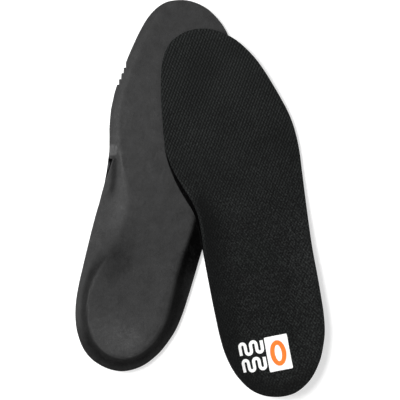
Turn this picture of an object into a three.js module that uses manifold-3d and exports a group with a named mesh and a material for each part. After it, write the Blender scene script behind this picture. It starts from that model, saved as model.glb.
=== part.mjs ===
// A pair of cushioned insoles laid out as they come out of the pack: the left one sole side up,
// the right one fabric side up and resting partly on it.
//
// Every insole is a laminate of a moulded foam base, a soft comfort foam, a knitted top cover,
// a heel pad let into the base, and a thin printed film on the heel of the cover.
// The right insole is divided at the toe break, so that it can flex there.
//
// Own frame of a right insole: u is across (negative towards the arch, positive towards the little toe),
// v is along (0 at the heel, 270 at the toe), z is up from the underside of the heel and forefoot.
// Units are millimetres, +Z is up, and the assembly's origin is at the middle of its footprint.

import * as THREE from 'three';
import { mergeVertices } from 'three/addons/utils/BufferGeometryUtils.js';
import Module from 'manifold-3d';

// ------------------------------------------------------------------ driving dimensions (mm)
const LENGTH = 269.6;              // heel to toe, about EU size 42
const COVER_T = 0.8;               // knitted top cover
const GAP = 0.3;                   // clearance between laminated pieces
const FOAM_T_HEEL = 2.2;           // comfort foam under the heel
const FOAM_T_TOE = 1.3;            // comfort foam under the toes
const FOAM_T_RIM = 1.2;            // comfort foam at the trimmed edge of the heel cup
const RIM_T = 4.3;                 // height of the trimmed edge of the whole laminate
const FLOOR_T = [[0, 6.6], [100, 6.4], [150, 5.9], [175, 5.2], [LENGTH, 4.6]];   // laminate height along the middle

// Edge of the trimmed insole, [v, u], from the heel forward: inner (arch) side, then outer side.
const INNER_EDGE = [
  [0.8, 4.5], [1.7, -2], [4, -8.9], [8, -15.2], [12, -19.2], [16, -22.1], [22, -25.6], [30, -28.7], [40, -31.1], [52, -32.4],
  [66, -32.9], [82, -33.3], [100, -33.5], [118, -33.5], [130, -33.7], [140, -34.8], [150, -36.9], [160, -39.9], [170, -42.5],
  [180, -44.1], [190, -44.6], [200, -44.1], [210, -42.9], [220, -41.8], [230, -40.3], [240, -38.4], [250, -35.6], [258, -31.6],
  [264, -26.2], [268, -18], [269.6, -9.5],
];
const OUTER_EDGE = [
  [1.4, 12.5], [4, 19.1], [8, 25.1], [12, 29.2], [16, 32.3], [22, 36.1], [30, 39.6], [40, 42.8], [52, 44.5], [66, 45.2],
  [82, 45.6], [100, 45.9], [120, 47.1], [140, 48.6], [156, 49.8], [170, 50.7], [180, 50.6], [190, 49.7], [200, 47.6],
  [210, 44.4], [220, 40.8], [230, 36.9], [240, 32.2], [250, 25.8], [258, 18.8], [264, 10.7], [268, 2.2],
];
// Height of the edge above the underside, [v, z].
const INNER_RIM = [[0, 16.5], [15, 16.8], [40, 17.5], [70, 18.6], [95, 19.8], [120, 20.2], [138, 18.6], [146, 14.5], [152, 9.5], [160, 6.2], [175, 5.3], [200, 5], [240, 4.8], [LENGTH, 4.6]];
const OUTER_RIM = [[0, 16.5], [15, 16.4], [40, 15.8], [70, 14.2], [95, 12], [120, 9.2], [140, 7], [160, 5.5], [175, 5.1], [200, 5], [240, 4.8], [LENGTH, 4.6]];
// Middle line that the section rings close on, [v, u].
const SPINE = [[0, 6.8], [38, 6.7], [110, 6.4], [180, 2.5], [232, -3.5], [LENGTH, -7.5]];
const SPINE_V = [40, 230];
// How far the walls reach in from the edge, [v, distance], on the fabric side and on the underside.
const CUP_IN = [[0, 18], [40, 19], [90, 26], [130, 26], [160, 16], [LENGTH, 10]];
const CUP_OUT = [[0, 18], [40, 19], [90, 20], [160, 16], [LENGTH, 10]];
const WALL_IN = [[0, 10.8], [12, 9.8], [22, 8.6], [45, 7], [60, 8.5], [76, 14], [95, 21], [115, 21], [132, 15], [146, 9], [160, 7], [LENGTH, 6]];
const WALL_OUT = [[0, 10.8], [20, 10.4], [45, 11.5], [62, 13], [80, 14.3], [95, 14.3], [110, 14.6], [124, 14.6], [142, 9], [160, 6.5], [LENGTH, 6]];

const EDGE_POINTS = 64;                     // facets round the edge
const RINGS = [0, 0.12, 0.27, 0.45, 0.7];   // section rings, as a share of the way from the edge to the middle line

// Toe break: the line across the ball of the foot where an insole bends.
const BREAK_INNER = [-44, 196];
const BREAK_OUTER = [50, 171];
const BREAK_GAP = 0.4;
const BREAK_AXIS_Z = 5.5;                   // the bend's axis, level with the top cover

// Heel pad let into the base: an ellipse.
const PAD = { u: 6.6, v: 42, ru: 20, rv: 27, t: 1.8, sides: 28 };

// Printed film on the heel of the cover.
const FILM_T = 0.3;
const PANEL = { u0: 0, u1: 16.9, v0: 18.9, v1: 44.0, r: 0.8 };
const RING = { u: 8.45, v: 31.4, ru: 5.8, rv: 9.2, width: 3.3 };
const DOT = { ru: 2.2, rv: 5.6 };
const WAVE = { u0: -18.5, pitch: 4.06, strokes: 5, low: 26.6, high: 38.6, height: 10.4, width: 2.3, arcSteps: 5 };

// Trim notch in the base under the arch flange, [u, v] with the edge outside.
const FLANGE_TRIM = [[-33.9, 124], [-33.35, 131.5], [-33.0, 138], [-32.9, 142], [-33.0, 146.2], [-60, 146.2], [-60, 124]];
const FLANGE_TRIM_Z = [-2, 40];
// The knit stops short of the trimmed foam beside the arch, by depth at v and fading over reach either way.
const KNIT_BACK = { v: 147, depth: 2.5, reach: 23, from: 114, to: 180, step: 6 };
// Saw-tooth marks cut in the inner edge of the left insole beside the big toe.
const MARKS = { v: [199.6, 204.0, 208.4, 212.8], depth: 1.4, pitch: 4.4 };

// Where each insole lies. Slopes are the rise of its underside plane per mm across and along.
const RIGHT = { yaw: 10.525, slopeU: -0.1667, slopeV: 0.0206, at: [52.38, -141.74, 4.55] };
const LEFT = { yaw: -14.95, slopeU: -0.1192, slopeV: -0.0644, at: [-67.15, -120.07, 24.1] };

// ------------------------------------------------------------------ small numeric helpers
const lerp = (a, b, t) => a + (b - a) * t;
const clamp = (x, a, b) => Math.min(b, Math.max(a, x));

// Smooth monotone curve through a table of [x, y] rows.
function curve(rows) {
  const n = rows.length;
  const x = rows.map((r) => r[0]), y = rows.map((r) => r[1]);
  const d = [], m = new Array(n).fill(0);
  for (let i = 0; i < n - 1; i++) d.push((y[i + 1] - y[i]) / (x[i + 1] - x[i]));
  for (let i = 1; i < n - 1; i++) {
    if (d[i - 1] * d[i] > 0) {
      const h0 = x[i] - x[i - 1], h1 = x[i + 1] - x[i];
      const w0 = 2 * h1 + h0, w1 = h1 + 2 * h0;
      m[i] = (w0 + w1) / (w0 / d[i - 1] + w1 / d[i]);
    }
  }
  m[0] = d[0]; m[n - 1] = d[n - 2];
  return (t) => {
    if (t <= x[0]) return y[0];
    if (t >= x[n - 1]) return y[n - 1];
    let i = 0;
    while (t > x[i + 1]) i++;
    const h = x[i + 1] - x[i], s = (t - x[i]) / h;
    return (1 + 2 * s) * (1 - s) * (1 - s) * y[i] + s * (1 - s) * (1 - s) * h * m[i]
      + s * s * (3 - 2 * s) * y[i + 1] + s * s * (s - 1) * h * m[i + 1];
  };
}

// ------------------------------------------------------------------ the insole's edge and surfaces
const control = [
  ...INNER_EDGE.map(([v, u]) => new THREE.Vector3(u, v, 0)),
  ...OUTER_EDGE.slice().reverse().map(([v, u]) => new THREE.Vector3(u, v, 0)),
];
const edgeCurve = new THREE.CatmullRomCurve3(control, true, 'centripetal');
edgeCurve.arcLengthDivisions = 2000;
const edge = edgeCurve.getSpacedPoints(EDGE_POINTS).slice(0, EDGE_POINTS).map((p) => new THREE.Vector2(p.x, p.y));
const fineEdge = edgeCurve.getSpacedPoints(900).slice(0, 900).map((p) => new THREE.Vector2(p.x, p.y));

const innerRim = curve(INNER_RIM), outerRim = curve(OUTER_RIM), spineU = curve(SPINE);
const floorT = curve(FLOOR_T), cupIn = curve(CUP_IN), cupOut = curve(CUP_OUT), wallIn = curve(WALL_IN), wallOut = curve(WALL_OUT);

function rimHeight(u, v) {
  const w = THREE.MathUtils.smoothstep(u, spineU(v) - 6, spineU(v) + 6);
  return lerp(innerRim(v), outerRim(v), w);
}
function nearestEdge(u, v) {
  let best = Infinity, at = null;
  const n = fineEdge.length;
  for (let i = 0; i < n; i++) {
    const a = fineEdge[i], b = fineEdge[(i + 1) % n];
    const dx = b.x - a.x, dy = b.y - a.y;
    const t = clamp(((u - a.x) * dx + (v - a.y) * dy) / (dx * dx + dy * dy), 0, 1);
    const x = a.x + t * dx, y = a.y + t * dy, d = Math.hypot(u - x, v - y);
    if (d < best) { best = d; at = [x, y]; }
  }
  return { d: best, u: at[0], v: at[1] };
}
// Height of the fabric side: a flat foot bed that rises into the heel cup and the arch flange.
function topZ(u, v) {
  const e = nearestEdge(u, v), rim = rimHeight(e.u, e.v);
  const w = THREE.MathUtils.smoothstep(u, spineU(v) - 6, spineU(v) + 6);
  const reach = lerp(cupIn(v), cupOut(v), w);
  return lerp(floorT(v), rim, Math.pow(1 - clamp(e.d / reach, 0, 1), 1.9));
}
// Height of the underside: flat plateaus with walls that rise to the edge.
function bottomZ(u, v) {
  const e = nearestEdge(u, v), rim = rimHeight(e.u, e.v);
  const w = THREE.MathUtils.smoothstep(u, spineU(v) - 6, spineU(v) + 6);
  const reach = lerp(wallIn(v), wallOut(v), w);
  const x = 1 - clamp(e.d / reach, 0, 1);
  // The wall stands up steeply from the plateau and flares to the edge; beside the arch it rises softly instead.
  const arch = (1 - w) * THREE.MathUtils.smoothstep(v, 60, 84) * (1 - THREE.MathUtils.smoothstep(v, 150, 165));
  return Math.max(rim - Math.min(RIM_T, rim), 0) * lerp(1 - Math.pow(1 - x, 1.7), Math.pow(x, 1.6), arch);
}
function foamThickness(u, v) {
  const e = nearestEdge(u, v);
  const inner = lerp(FOAM_T_HEEL, FOAM_T_TOE, THREE.MathUtils.smoothstep(v, 110, 190));
  return lerp(FOAM_T_RIM, inner, clamp(e.d / 14, 0, 1));
}

// Plan grid shared by every layer, so that the gaps between layers are even.
const grid = [];
for (const f of RINGS) {
  for (const p of edge) {
    const sv = clamp(p.y, SPINE_V[0], SPINE_V[1]);
    grid.push([lerp(p.x, spineU(sv), f), lerp(p.y, sv, f)]);
  }
}
const inner = grid.slice((RINGS.length - 1) * EDGE_POINTS).map(([u, v]) => new THREE.Vector2(u, v));
const innerFaces = THREE.ShapeUtils.triangulateShape(inner, []);
const gridTop = grid.map(([u, v]) => topZ(u, v));
const gridBottom = grid.map(([u, v]) => bottomZ(u, v));
const gridFoam = grid.map(([u, v]) => foamThickness(u, v));

// Closed solid between two heights given on the shared grid.
function layer(low, high) {
  const n = EDGE_POINTS, rows = RINGS.length, pos = [], idx = [];
  grid.forEach(([u, v], i) => pos.push(u, v, high[i]));
  grid.forEach(([u, v], i) => pos.push(u, v, low[i]));
  const off = grid.length;
  // The edge runs clockwise seen from above (heel, inner side, toe, outer side).
  for (let r = 0; r < rows - 1; r++) {
    for (let i = 0; i < n; i++) {
      const a = r * n + i, b = r * n + (i + 1) % n, c = a + n, d = b + n;
      idx.push(a, d, b, a, c, d);
      idx.push(off + a, off + b, off + d, off + a, off + d, off + c);
    }
  }
  const base = (rows - 1) * n;
  for (const [a, b, c] of innerFaces) {
    const p = inner[a], q = inner[b], r = inner[c];
    const up = (q.x - p.x) * (r.y - p.y) - (q.y - p.y) * (r.x - p.x) > 0;
    idx.push(...(up ? [base + a, base + b, base + c] : [base + a, base + c, base + b]));
    idx.push(...(up ? [off + base + a, off + base + c, off + base + b] : [off + base + a, off + base + b, off + base + c]));
  }
  for (let i = 0; i < n; i++) {
    const j = (i + 1) % n;
    idx.push(i, j, off + j, i, off + j, off + i);
  }
  const g = new THREE.BufferGeometry();
  g.setAttribute('position', new THREE.Float32BufferAttribute(pos, 3));
  g.setIndex(idx);
  return upright(g);
}

// Signed volume, to keep every solid's faces pointing out.
function volume(g) {
  const p = g.attributes.position, ix = g.index;
  let s = 0;
  const a = new THREE.Vector3(), b = new THREE.Vector3(), c = new THREE.Vector3();
  for (let i = 0; i < ix.count; i += 3) {
    a.fromBufferAttribute(p, ix.getX(i)); b.fromBufferAttribute(p, ix.getX(i + 1)); c.fromBufferAttribute(p, ix.getX(i + 2));
    s += a.dot(b.cross(c)) / 6;
  }
  return s;
}
function upright(g) {
  if (volume(g) < 0) {
    const ix = Array.from(g.index.array);
    for (let i = 0; i < ix.length; i += 3) [ix[i + 1], ix[i + 2]] = [ix[i + 2], ix[i + 1]];
    g.setIndex(ix);
  }
  return g;
}

// ------------------------------------------------------------------ cutting and joining
const wasm = await Module();
wasm.setup();

function solid(geometry) {
  let g = geometry.clone();
  g.deleteAttribute('normal');
  g.deleteAttribute('uv');
  g = mergeVertices(g, 1e-4);
  return new wasm.Manifold(new wasm.Mesh({
    numProp: 3,
    vertProperties: new Float32Array(g.attributes.position.array),
    triVerts: new Uint32Array(g.index.array),
  }));
}
function geometryOf(manifold) {
  const m = manifold.getMesh();
  const g = new THREE.BufferGeometry();
  const p = new Float32Array(m.numVert * 3);
  for (let i = 0; i < m.numVert; i++) for (let k = 0; k < 3; k++) p[3 * i + k] = m.vertProperties[i * m.numProp + k];
  g.setAttribute('position', new THREE.BufferAttribute(p, 3));
  g.setIndex(Array.from(m.triVerts));
  return g;
}
// Upright prism of an outline of [u, v] points.
function prism(outline, z0, z1) {
  const g = new THREE.ExtrudeGeometry(new THREE.Shape(outline.map(([u, v]) => new THREE.Vector2(u, v))), { depth: z1 - z0, bevelEnabled: false, steps: 1 });
  g.translate(0, 0, z0);
  return g;
}

// The two sides of the toe break, as large blocks.
const breakMid = [(BREAK_INNER[0] + BREAK_OUTER[0]) / 2, (BREAK_INNER[1] + BREAK_OUTER[1]) / 2];
const breakAngle = Math.atan2(BREAK_OUTER[1] - BREAK_INNER[1], BREAK_OUTER[0] - BREAK_INNER[0]);
function sideOfBreak(front) {
  const g = new THREE.BoxGeometry(300, 300, 200);
  g.translate(0, (front ? 1 : -1) * (150 + BREAK_GAP / 2), 0);
  g.rotateZ(breakAngle);
  g.translate(breakMid[0], breakMid[1], 0);
  return solid(g);
}
const rearBlock = sideOfBreak(false), foreBlock = sideOfBreak(true);

// ------------------------------------------------------------------ the pieces of one insole
const sub = (a, b) => a.map((x, i) => x - b[i]);
const coverLow = gridTop.map((z) => z - COVER_T);
const foamHigh = coverLow.map((z) => z - GAP);
const foamLow = sub(foamHigh, gridFoam);
const baseHigh = foamLow.map((z) => z - GAP);
const baseLow = gridBottom.map((z, i) => Math.min(z, baseHigh[i] - 0.9));

let coverSolid = solid(layer(coverLow, gridTop));
const knitBack = [];
for (let v = KNIT_BACK.from; v <= KNIT_BACK.to; v += KNIT_BACK.step) {
  knitBack.push([nearestEdge(-60, v).u + KNIT_BACK.depth * Math.exp(-(((v - KNIT_BACK.v) / KNIT_BACK.reach) ** 2)), v]);
}
coverSolid = coverSolid.subtract(solid(prism([...knitBack, [-60, KNIT_BACK.to], [-60, KNIT_BACK.from]], -5, 40)));
const foamSolid = solid(layer(foamLow, foamHigh));
let baseSolid = solid(layer(baseLow, baseHigh));

// Heel pad: a flat ellipse, with its pocket in the top of the base.
function ellipse(u, v, ru, rv, sides) {
  return Array.from({ length: sides }, (_, i) => {
    const a = (i / sides) * 2 * Math.PI;
    return [u + ru * Math.cos(a), v + rv * Math.sin(a)];
  });
}
let padTop = Infinity;
for (const [u, v] of [...ellipse(PAD.u, PAD.v, PAD.ru, PAD.rv, 24), [PAD.u, PAD.v]]) {
  padTop = Math.min(padTop, topZ(u, v) - COVER_T - GAP - foamThickness(u, v) - GAP);
}
padTop -= 0.15;
const padSolid = solid(prism(ellipse(PAD.u, PAD.v, PAD.ru, PAD.rv, PAD.sides), padTop - PAD.t, padTop));
const pocket = solid(prism(ellipse(PAD.u, PAD.v, PAD.ru + GAP, PAD.rv + GAP, PAD.sides), padTop - PAD.t - GAP, padTop + 20));
baseSolid = baseSolid.subtract(pocket);

// The base is trimmed back under the front of the arch flange.
baseSolid = baseSolid.subtract(solid(prism(FLANGE_TRIM, FLANGE_TRIM_Z[0], FLANGE_TRIM_Z[1])));

// Saw-tooth marks beside the big toe, through all layers of the left insole.
let teeth = null;
for (const v of MARKS.v) {
  const e = nearestEdge(-60, v);
  const t = prism([[e.u + MARKS.depth, v - MARKS.pitch * 0.40], [e.u + MARKS.depth * 0.1, v + MARKS.pitch * 0.42], [e.u - 6, v + MARKS.pitch * 0.42], [e.u - 6, v - MARKS.pitch * 0.40]], -5, 30);
  teeth = teeth ? teeth.add(solid(t)) : solid(t);
}
const markedCover = coverSolid.subtract(teeth), markedFoam = foamSolid.subtract(teeth), markedBase = baseSolid.subtract(teeth);

// Printed film: each outline is laid on the cover as a thin plate that follows its surface.
function film(outlines, holes = []) {
  let s = null;
  for (const o of outlines) { const m = solid(prism(o, -5, 40)); s = s ? s.add(m) : m; }
  for (const h of holes) s = s.subtract(solid(prism(h, -6, 41)));
  const low = gridTop.map((z) => z + GAP), high = gridTop.map((z) => z + GAP + FILM_T);
  return s.intersect(solid(layer(low, high)));
}
function roundedRect(u0, v0, u1, v1, r, k = 3) {
  const out = [];
  for (const [cu, cv, a0] of [[u1 - r, v1 - r, 0], [u0 + r, v1 - r, 1], [u0 + r, v0 + r, 2], [u1 - r, v0 + r, 3]]) {
    for (let i = 0; i <= k; i++) {
      const a = (a0 + i / k) * Math.PI / 2;
      out.push([cu + r * Math.cos(a), cv + r * Math.sin(a)]);
    }
  }
  return out;
}
const ringOuter = ellipse(RING.u, RING.v, RING.ru, RING.rv, 28);
const ringInner = ellipse(RING.u, RING.v, RING.ru - RING.width, RING.rv - RING.width, 28);
const dotOutline = ellipse(RING.u, RING.v, DOT.ru, DOT.rv, 20);
const panelFilm = film([roundedRect(PANEL.u0, PANEL.v0, PANEL.u1, PANEL.v1, PANEL.r)],
  [ellipse(RING.u, RING.v, RING.ru + GAP, RING.rv + GAP, 28)]);
const ringFilm = film([ringOuter], [ringInner]);
const dotFilm = film([dotOutline]);
// A serpentine stripe of even width: upright strokes joined by half rings, with square ends.
function wave(vc) {
  const r = WAVE.pitch / 2, straight = WAVE.height / 2 - r - WAVE.width / 2, line = [];
  for (let k = 0; k < WAVE.strokes; k++) {
    const u = WAVE.u0 + k * WAVE.pitch, up = k % 2 === 0 ? 1 : -1;
    if (k === 0) line.push([u, vc - up * (straight + r)]);
    if (k === WAVE.strokes - 1) { line.push([u, vc + up * (straight + r)]); continue; }
    for (let i = 0; i <= WAVE.arcSteps; i++) {
      const a = Math.PI * (1 - i / WAVE.arcSteps);
      line.push([u + r + r * Math.cos(a), vc + up * (straight + r * Math.sin(a))]);
    }
  }
  const h = WAVE.width / 2, one = [], other = [];
  line.forEach((p, i) => {
    const a = line[Math.max(0, i - 1)], b = line[Math.min(line.length - 1, i + 1)];
    const l = Math.hypot(b[0] - a[0], b[1] - a[1]), nx = -(b[1] - a[1]) / l, ny = (b[0] - a[0]) / l;
    one.push([p[0] + nx * h, p[1] + ny * h]);
    other.push([p[0] - nx * h, p[1] - ny * h]);
  });
  return film([one.concat(other.reverse())]);
}
const waveHigh = wave(WAVE.high), waveLow = wave(WAVE.low);

// ------------------------------------------------------------------ materials and placing
const FABRIC = { color: 0x1e201f, roughness: 0.95, metalness: 0 };
const SOFT_FOAM = { color: 0x3a3a3b, roughness: 0.9, metalness: 0 };
const BASE_FOAM = { color: 0x3c3c3d, roughness: 0.85, metalness: 0 };
const PAD_FOAM = { color: 0x6f7274, roughness: 0.6, metalness: 0 };
const WHITE_FILM = { color: 0xf2f2f0, roughness: 0.5, metalness: 0 };
const ORANGE_FILM = { color: 0xf26a21, roughness: 0.5, metalness: 0 };

function mesh(name, manifold, look, mirrored) {
  let g = geometryOf(manifold);
  if (mirrored) {
    g.scale(-1, 1, 1);
    g = upright(g);
  }
  g.computeVertexNormals();
  const m = new THREE.Mesh(g, new THREE.MeshStandardMaterial(look));
  m.name = name;
  return m;
}

// Turns an insole's own frame to where it lies: tilt by its two slopes, then yaw, then move.
function place(group, { yaw, slopeU, slopeV, at }, flipped) {
  const n = new THREE.Vector3(-slopeU, -slopeV, 1).normalize();
  const y = new THREE.Vector3(0, 1, slopeV).normalize();
  const x = new THREE.Vector3().crossVectors(y, n);
  const m = new THREE.Matrix4().makeRotationZ(THREE.MathUtils.degToRad(yaw)).multiply(new THREE.Matrix4().makeBasis(x, y, n));
  if (flipped) m.multiply(new THREE.Matrix4().makeRotationY(Math.PI));
  group.quaternion.setFromRotationMatrix(m);
  group.position.set(...at);
}

function printed(side, mirrored) {
  return [
    mesh(`print_panel_${side}`, panelFilm, WHITE_FILM, mirrored),
    mesh(`print_ring_${side}`, ringFilm, ORANGE_FILM, mirrored),
    mesh(`print_dot_${side}`, dotFilm, WHITE_FILM, mirrored),
    mesh(`print_wave_front_${side}`, waveHigh, WHITE_FILM, mirrored),
    mesh(`print_wave_back_${side}`, waveLow, WHITE_FILM, mirrored),
  ];
}

const leftInsole = new THREE.Group();
leftInsole.add(
  mesh('top_cover_left', markedCover, FABRIC, true),
  mesh('comfort_foam_left', markedFoam, SOFT_FOAM, true),
  mesh('foam_base_left', markedBase, BASE_FOAM, true),
  mesh('heel_pad_left', padSolid, PAD_FOAM, true),
  ...printed('left', true),
);
place(leftInsole, LEFT, true);

const rightInsole = new THREE.Group();
rightInsole.add(
  mesh('top_cover_rear_right', coverSolid.intersect(rearBlock), FABRIC, false),
  mesh('top_cover_toe_right', coverSolid.intersect(foreBlock), FABRIC, false),
  mesh('comfort_foam_rear_right', foamSolid.intersect(rearBlock), SOFT_FOAM, false),
  mesh('comfort_foam_toe_right', foamSolid.intersect(foreBlock), SOFT_FOAM, false),
  mesh('foam_base_rear_right', baseSolid.intersect(rearBlock), BASE_FOAM, false),
  mesh('foam_base_toe_right', baseSolid.intersect(foreBlock), BASE_FOAM, false),
  mesh('heel_pad_right', padSolid, PAD_FOAM, false),
  ...printed('right', false),
);
place(rightInsole, RIGHT, false);

// The origin is at the middle of the footprint, on the surface that the pair lies on.
const layout = new THREE.Group();
layout.add(leftInsole, rightInsole);
const pair = new THREE.Group();
pair.add(layout);
pair.updateMatrixWorld(true);
const box = new THREE.Box3().setFromObject(pair, true);
layout.position.set(-(box.min.x + box.max.x) / 2, -(box.min.y + box.max.y) / 2, -box.min.z);
pair.updateMatrixWorld(true);

export default pair;
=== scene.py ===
# A pair of cushioned insoles: the left one sole side up, the right one fabric side up and resting partly on it.
# Own frame of an insole: u across (negative towards the arch), v along (0 at the heel), z up from the underside, in mm.
import math

import bmesh
import bpy
import numpy as np
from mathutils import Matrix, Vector


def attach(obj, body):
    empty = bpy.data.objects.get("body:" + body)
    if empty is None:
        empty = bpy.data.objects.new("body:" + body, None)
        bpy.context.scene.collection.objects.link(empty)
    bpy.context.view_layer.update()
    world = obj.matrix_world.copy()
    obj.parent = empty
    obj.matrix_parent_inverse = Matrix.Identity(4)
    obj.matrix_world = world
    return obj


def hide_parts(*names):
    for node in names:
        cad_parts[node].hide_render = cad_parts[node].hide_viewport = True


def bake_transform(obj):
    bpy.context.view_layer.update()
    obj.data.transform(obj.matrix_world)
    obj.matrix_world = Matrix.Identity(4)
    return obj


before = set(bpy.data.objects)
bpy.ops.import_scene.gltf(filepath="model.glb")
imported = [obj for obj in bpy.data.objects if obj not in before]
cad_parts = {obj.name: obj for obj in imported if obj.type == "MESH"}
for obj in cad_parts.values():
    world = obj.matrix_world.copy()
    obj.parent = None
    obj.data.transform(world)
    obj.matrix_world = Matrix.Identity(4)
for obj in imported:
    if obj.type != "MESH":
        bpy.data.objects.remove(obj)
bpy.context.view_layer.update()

# ---------------------------------------------------------------- driving dimensions, as in the CAD (mm)
LENGTH = 269.6
COVER_T = 0.8
GAP = 0.3
FOAM_T_HEEL, FOAM_T_TOE, FOAM_T_RIM, RIM_T = 2.2, 1.3, 1.2, 4.3
FLOOR_T = [[0, 6.6], [100, 6.4], [150, 5.9], [175, 5.2], [LENGTH, 4.6]]
INNER_EDGE = [
    [0.8, 4.5], [1.7, -2], [4, -8.9], [8, -15.2], [12, -19.2], [16, -22.1], [22, -25.6], [30, -28.7], [40, -31.1], [52, -32.4],
    [66, -32.9], [82, -33.3], [100, -33.5], [118, -33.5], [130, -33.7], [140, -34.8], [150, -36.9], [160, -39.9], [170, -42.5],
    [180, -44.1], [190, -44.6], [200, -44.1], [210, -42.9], [220, -41.8], [230, -40.3], [240, -38.4], [250, -35.6], [258, -31.6],
    [264, -26.2], [268, -18], [269.6, -9.5],
]
OUTER_EDGE = [
    [1.4, 12.5], [4, 19.1], [8, 25.1], [12, 29.2], [16, 32.3], [22, 36.1], [30, 39.6], [40, 42.8], [52, 44.5], [66, 45.2],
    [82, 45.6], [100, 45.9], [120, 47.1], [140, 48.6], [156, 49.8], [170, 50.7], [180, 50.6], [190, 49.7], [200, 47.6],
    [210, 44.4], [220, 40.8], [230, 36.9], [240, 32.2], [250, 25.8], [258, 18.8], [264, 10.7], [268, 2.2],
]
INNER_RIM = [[0, 16.5], [15, 16.8], [40, 17.5], [70, 18.6], [95, 19.8], [120, 20.2], [138, 18.6], [146, 14.5], [152, 9.5], [160, 6.2], [175, 5.3], [200, 5], [240, 4.8], [LENGTH, 4.6]]
OUTER_RIM = [[0, 16.5], [15, 16.4], [40, 15.8], [70, 14.2], [95, 12], [120, 9.2], [140, 7], [160, 5.5], [175, 5.1], [200, 5], [240, 4.8], [LENGTH, 4.6]]
SPINE = [[0, 6.8], [38, 6.7], [110, 6.4], [180, 2.5], [232, -3.5], [LENGTH, -7.5]]
SPINE_V = [40, 230]
CUP_IN = [[0, 18], [40, 19], [90, 26], [130, 26], [160, 16], [LENGTH, 10]]
CUP_OUT = [[0, 18], [40, 19], [90, 20], [160, 16], [LENGTH, 10]]
WALL_IN = [[0, 10.8], [12, 9.8], [22, 8.6], [45, 7], [60, 8.5], [76, 14], [95, 21], [115, 21], [132, 15], [146, 9], [160, 7], [LENGTH, 6]]
WALL_OUT = [[0, 10.8], [20, 10.4], [45, 11.5], [62, 13], [80, 14.3], [95, 14.0], [106, 13.2], [113, 13.8], [124, 14.6], [142, 9], [160, 6.5], [LENGTH, 6]]
PAD = dict(u=6.6, v=42, ru=20, rv=27, t=1.8)
PANEL = dict(u0=0, u1=16.9, v0=18.9, v1=44.0, r=0.8)
RING = dict(u=8.45, v=31.4, ru=5.8, rv=9.2, width=3.3)
DOT = dict(ru=2.48, rv=5.88)
WAVE = dict(u0=-18.5, pitch=4.06, strokes=5, low=26.6, high=38.6, height=10.4, width=2.3)
FLANGE_TRIM = [[124, -33.9], [131.5, -33.35], [138, -33.0], [142, -32.9], [146.2, -33.0]]     # [v, u]
MARKS = dict(v=[199.6, 204.0, 208.4, 212.8], depth=1.4, pitch=4.4)
RIGHT = dict(yaw=10.525, su=-0.1667, sv=0.0206, at=[52.38, -141.74, 4.55])
LEFT = dict(yaw=-14.95, su=-0.1192, sv=-0.0644, at=[-67.15, -120.07, 24.1])
SHIFT = np.array([0.0392, -1.4558, -0.1202])      # the CAD layout's centring move


# ---------------------------------------------------------------- numeric helpers
def curve(rows):
    """Monotone smooth curve through [x, y] rows."""
    x = np.array([r[0] for r in rows], float)
    y = np.array([r[1] for r in rows], float)
    d = np.diff(y) / np.diff(x)
    m = np.zeros(len(x))
    for i in range(1, len(x) - 1):
        if d[i - 1] * d[i] > 0:
            h0, h1 = x[i] - x[i - 1], x[i + 1] - x[i]
            w0, w1 = 2 * h1 + h0, h1 + 2 * h0
            m[i] = (w0 + w1) / (w0 / d[i - 1] + w1 / d[i])
    m[0], m[-1] = d[0], d[-1]

    def at(t):
        t = np.clip(np.asarray(t, float), x[0], x[-1])
        i = np.clip(np.searchsorted(x, t, side="right") - 1, 0, len(x) - 2)
        h = x[i + 1] - x[i]
        s = (t - x[i]) / h
        return ((1 + 2 * s) * (1 - s) ** 2 * y[i] + s * (1 - s) ** 2 * h * m[i]
                + s * s * (3 - 2 * s) * y[i + 1] + s * s * (s - 1) * h * m[i + 1])
    return at


def smooth(x, a, b):
    t = np.clip((np.asarray(x, float) - a) / (b - a), 0, 1)
    return t * t * (3 - 2 * t)


def lerp(a, b, t):
    return a + (b - a) * t


def dense_edge(per=44):
    """Closed centripetal Catmull-Rom curve through the edge's control points."""
    c = np.array([(u, v) for v, u in INNER_EDGE] + [(u, v) for v, u in reversed(OUTER_EDGE)], float)
    n, out = len(c), []
    for i in range(n):
        p0, p1, p2, p3 = c[i - 1], c[i], c[(i + 1) % n], c[(i + 2) % n]
        d0, d1, d2 = (math.sqrt(np.linalg.norm(b - a)) for a, b in ((p0, p1), (p1, p2), (p2, p3)))
        t1 = ((p1 - p0) / d0 - (p2 - p0) / (d0 + d1) + (p2 - p1) / d1) * d1
        t2 = ((p2 - p1) / d1 - (p3 - p1) / (d1 + d2) + (p3 - p2) / d2) * d1
        s = (np.arange(per) / per)[:, None]
        out.append(p1 + t1 * s + (-3 * p1 + 3 * p2 - 2 * t1 - t2) * s ** 2 + (2 * p1 - 2 * p2 + t1 + t2) * s ** 3)
    return np.concatenate(out)


EDGE = dense_edge()
innerRim, outerRim, spineU = curve(INNER_RIM), curve(OUTER_RIM), curve(SPINE)
floorT, cupIn, cupOut, wallIn, wallOut = curve(FLOOR_T), curve(CUP_IN), curve(CUP_OUT), curve(WALL_IN), curve(WALL_OUT)


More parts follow.
